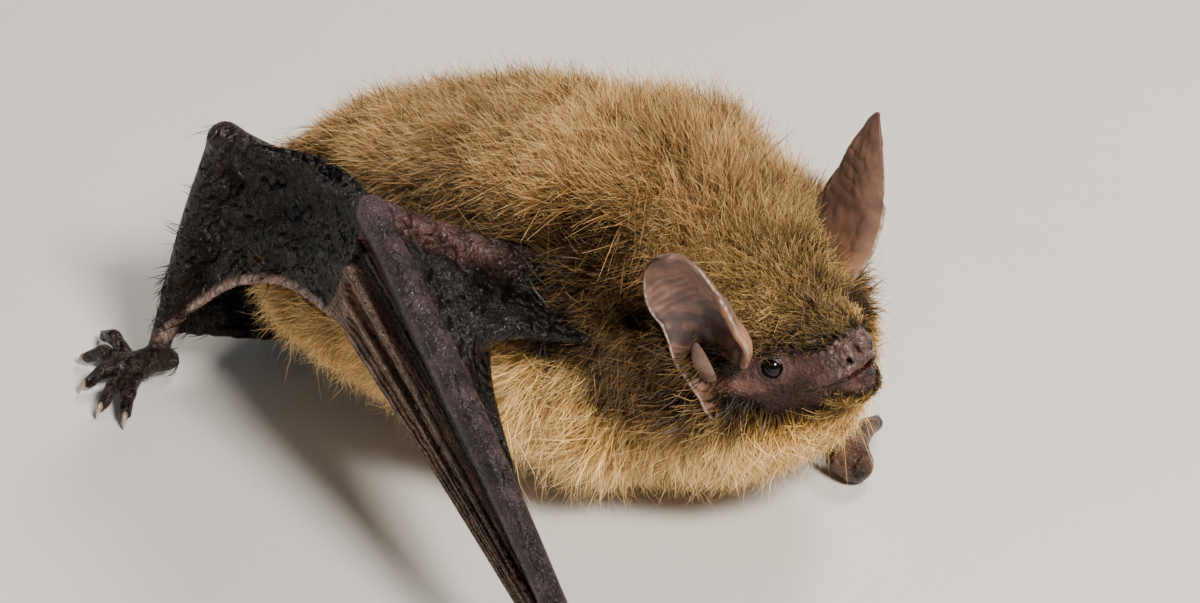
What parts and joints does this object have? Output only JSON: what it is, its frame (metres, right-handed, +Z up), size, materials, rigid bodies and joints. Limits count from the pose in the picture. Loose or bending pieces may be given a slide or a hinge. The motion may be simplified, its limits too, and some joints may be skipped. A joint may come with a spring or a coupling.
{
  "type": "mouse-eared bat",
  "caption": "Life-size mouse-eared bat crouching on its wrists and feet, wings folded, head turned and raised, long ears, golden-brown coat with a cream throat.",
  "frame": {"origin": "on the floor under the middle of the chest, within the small flat that the belly rests on", "axes": "+X the way the body points, +Y the bat's left, +Z up"},
  "size_m": [0.0592, 0.0627, 0.0262],
  "materials": {
    "fur": "soft golden-brown coat, cream on the throat and belly",
    "face_skin": "bare purplish-brown skin with short sparse hair",
    "nose_skin": "moist granular grey-brown skin",
    "ear_skin": "thin brown skin, slightly translucent",
    "wing_skin": "dark, finely wrinkled, faintly shiny skin",
    "eye": "glossy black",
    "claw": "smooth translucent horn"
  },
  "bodies": {
    "root": {"abdomen": "fur", "chest": "fur", "ear_left": "ear_skin", "ear_right": "ear_skin", "eye_left": "eye", "eye_right": "eye", "finger_3_left": "wing_skin", "finger_3_right": "wing_skin", "finger_4_left": "wing_skin", "finger_4_right": "wing_skin", "finger_5_left": "wing_skin", "finger_5_right": "wing_skin", "foot_left": "wing_skin", "foot_right": "wing_skin", "forearm_left": "wing_skin", "forearm_right": "wing_skin", "front_membrane_left": "wing_skin", "front_membrane_right": "wing_skin", "hand_membrane_left": "wing_skin", "hand_membrane_right": "wing_skin", "head": "fur", "lower_jaw": "face_skin", "muzzle": "face_skin", "neck": "fur", "nose": "nose_skin", "shin_left": "wing_skin", "shin_right": "wing_skin", "side_membrane_left": "wing_skin", "side_membrane_right": "wing_skin", "tail": "wing_skin", "tail_membrane_left": "wing_skin", "tail_membrane_right": "wing_skin", "thigh_left": "wing_skin", "thigh_right": "wing_skin", "thumb_claw_left": "claw", "thumb_claw_right": "claw", "thumb_left": "wing_skin", "thumb_right": "wing_skin", "toe_1_left": "wing_skin", "toe_1_right": "wing_skin", "toe_2_left": "wing_skin", "toe_2_right": "wing_skin", "toe_3_left": "wing_skin", "toe_3_right": "wing_skin", "toe_4_left": "wing_skin", "toe_4_right": "wing_skin", "toe_5_left": "wing_skin", "toe_5_right": "wing_skin", "tragus_left": "ear_skin", "tragus_right": "ear_skin", "upper_arm_left": "wing_skin", "upper_arm_right": "wing_skin", "wrist_left": "wing_skin", "wrist_right": "wing_skin"}
  },
  "joints": []
}
